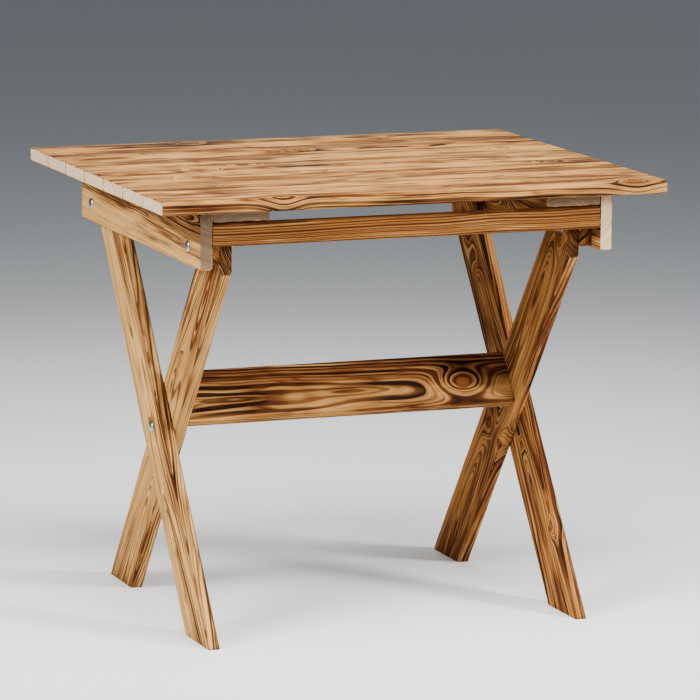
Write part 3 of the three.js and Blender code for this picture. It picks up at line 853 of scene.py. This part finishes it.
def thread_rows(radius, depth, pitch, start, end):
    """Rows of a screw thread between two heights."""
    count = int((end - start) / pitch * 4)

    def row(height):
        return (lambda turn: radius - depth * abs(2 * ((height / pitch - turn) % 1.0) - 1), height)

    return [row(start + (end - start) * i / count) for i in range(count + 1)]


def bolt_rows(length):
    """A domed head above the face at height 0, then the shank and its thread."""
    rows = [(0, -HEAD_HEIGHT)]
    for step in range(1, HEAD_STEPS + 1):
        angle = step / HEAD_STEPS * math.pi / 2
        rows.append((HEAD_RADIUS * math.sin(angle), -HEAD_RIM - (HEAD_HEIGHT - HEAD_RIM) * math.cos(angle)))
    rows += [(HEAD_RADIUS, -0.25), (9.5, 0), (BOLT_RADIUS, 0)]
    rows += thread_rows(BOLT_RADIUS, BOLT_THREAD_DEPTH, BOLT_PITCH, length - BOLT_THREAD, length - 0.8)
    rows += [(BOLT_RADIUS - 1.0, length), (0, length)]
    return rows


def screw_rows(length):
    """A countersunk screw with a cross recess in its head."""
    def sunk(radius):
        def height(turn):
            angle = turn * 2 * math.pi
            near = min(abs(math.cos(angle)), abs(math.sin(angle))) * radius
            return CROSS_DEPTH * (1 - radius / CROSS_REACH * 0.5) if near < CROSS_HALF else 0.0
        return height

    rows = [(0, CROSS_DEPTH)]
    rows += [(radius, sunk(radius)) for radius in (0.5, 0.75, 1.0, 1.3, 1.6, 1.9, 2.2)]
    rows += [(CROSS_REACH + 0.1, 0), (SCREW_HEAD - 0.15, 0), (SCREW_HEAD, 0.15), (SCREW_HEAD, 0.35)]
    rows += [(SCREW_RADIUS, SCREW_HEAD_DEPTH)]
    rows += thread_rows(SCREW_RADIUS, SCREW_THREAD_DEPTH, SCREW_PITCH, SCREW_HEAD_DEPTH + 4, length - 4)
    rows += [(0, length)]
    return rows


def washer_rows(outer, thickness):
    inner = WASHER_BORE
    return [(inner, 0.2), (inner + 0.2, 0), (outer - 0.15, 0), (outer, 0.15), (outer, thickness - 0.5),
            (outer - 0.5, thickness), (inner + 0.2, thickness), (inner, thickness - 0.2), (inner, 0.2)]


def hex_radius(limit):
    """A hexagon's radius, rounded off where a turned chamfer reaches it."""
    def radius(turn):
        bend = (turn * 6 % 1.0 - 0.5) * math.pi / 3
        return min(NUT_FLAT / math.cos(bend), limit)
    return radius


def nut_rows(height):
    bore = thread_rows(4.45, 0.35, BOLT_PITCH, height - 0.6, 0.6)
    face, side = hex_radius(NUT_FLAT + 0.05), hex_radius(NUT_CORNER)
    return [(NUT_MOUTH, 0), (face, 0), (side, 0.55), (side, height - 0.55), (face, height),
            (NUT_MOUTH, height), *bore, (NUT_MOUTH, 0)]


def hub_rows(height):
    return [(4.9, 0), (6.3, 0), (6.5, 0.3), (6.4, 1.2), (5.7, height - 0.6), (5.2, height), (4.7, height),
            (4.3, height - 0.5), (4.3, 0.5), (4.9, 0)]


def wing_outline():
    """Points round one wing as (distance from the axis, height above the nut's seat)."""
    points = [(4.6, 0.9), (6.4, 1.0), (9.0, 2.6), (12.0, 4.9), (14.4, 7.4)]
    for step in range(9):
        angle = -0.2 + step / 8 * (math.pi * 0.75 + 0.2)
        points.append((11.8 + WING_TIP_RADIUS * math.cos(angle), 10.5 + WING_TIP_RADIUS * math.sin(angle)))
    return points + [(7.6, 9.0), (6.0, 6.4), (4.6, 6.2)]


def add_wing(bm, facing):
    """One wing of the nut, thick at its root and rounded at its edges."""
    outline = wing_outline()
    count = len(outline)
    middle = Vector((sum(p[0] for p in outline) / count, sum(p[1] for p in outline) / count))
    rows = []
    for level, inset in ((-1.0, 0.80), (-0.72, 0.95), (0.0, 1.0), (0.72, 0.95), (1.0, 0.80)):
        row = []
        for across, rise in outline:
            point = middle + (Vector((across, rise)) - middle) * inset
            thick = WING_THICKNESS / 2 * (1.0 - 0.03 * max(0.0, point.x - 5))
            row.append(bm.verts.new((facing * point.x, facing * level * thick, point.y)))
        rows.append(row)
    for first, second in zip(rows, rows[1:]):
        for i in range(count):
            j = (i + 1) % count
            bm.faces.new((first[i], first[j], second[j], second[i]))
    bm.faces.new(rows[0][::-1])
    bm.faces.new(rows[-1])


def make_metal(name, rows, start, direction, wings=False):
    """A turned zinc piece standing for a CAD node, its own Z along direction from start, both in mm."""
    bm = bmesh.new()
    spin(bm, rows)
    if wings:
        add_wing(bm, 1)
        add_wing(bm, -1)
    grain = bm.verts.layers.float_vector.new("grain")
    side = Vector(direction).cross(Z if abs(direction[2]) < 0.5 else Y).normalized()
    other = Vector(direction).cross(side)
    for vert in bm.verts:
        local = vert.co.copy()
        vert[grain] = local
        vert.co = (Vector(start) + side * local.x + other * local.y + Vector(direction) * local.z) * MM
    bmesh.ops.recalc_face_normals(bm, faces=bm.faces)
    for face in bm.faces:
        face.smooth = True
    mesh = bpy.data.meshes.new(name)
    bm.to_mesh(mesh)
    bm.free()
    mesh.set_sharp_from_angle(angle=math.radians(SHARP_ANGLE))
    mesh.materials.append(ZINC)
    piece = bpy.data.objects.new(f"{name}_visual", mesh)
    SCENE.collection.objects.link(piece)
    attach(piece, body_of(frame["nodes"][name])[0])
    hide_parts(name)


def make_hardware():
    for name in sorted(frame["nodes"]):
        middle, size = node_box(name)
        side = -1 if middle.x < 0 else 1
        inwards = (-side, 0, 0)
        outer = Vector((middle.x + side * size.x / 2, middle.y, middle.z))
        if name.startswith(("plank_screw", "rail_screw")):
            make_metal(name, screw_rows(size.z), (middle.x, middle.y, middle.z - size.z / 2), (0, 0, 1))
        elif name.startswith("stretcher_screw"):
            make_metal(name, screw_rows(size.x), outer, inwards)
        elif name.endswith("_bolt"):
            make_metal(name, bolt_rows(size.x - HEAD_HEIGHT), outer - X * side * HEAD_HEIGHT, inwards)
        elif name.endswith("washer"):
            make_metal(name, washer_rows(size.z / 2, size.x), outer, inwards)
        elif name.endswith("wing_nut"):
            seat = outer - X * side * TURNING_GAP
            make_metal(name, hub_rows(HUB_HEIGHT), seat, inwards, wings=True)
        elif name.endswith("_nut"):
            make_metal(name, nut_rows(size.x), outer, inwards)


# ---------------------------------------------------------------- everything

make_camera()
make_floor()
make_lights()
make_planks()
make_frame()
make_legs()
make_hardware()
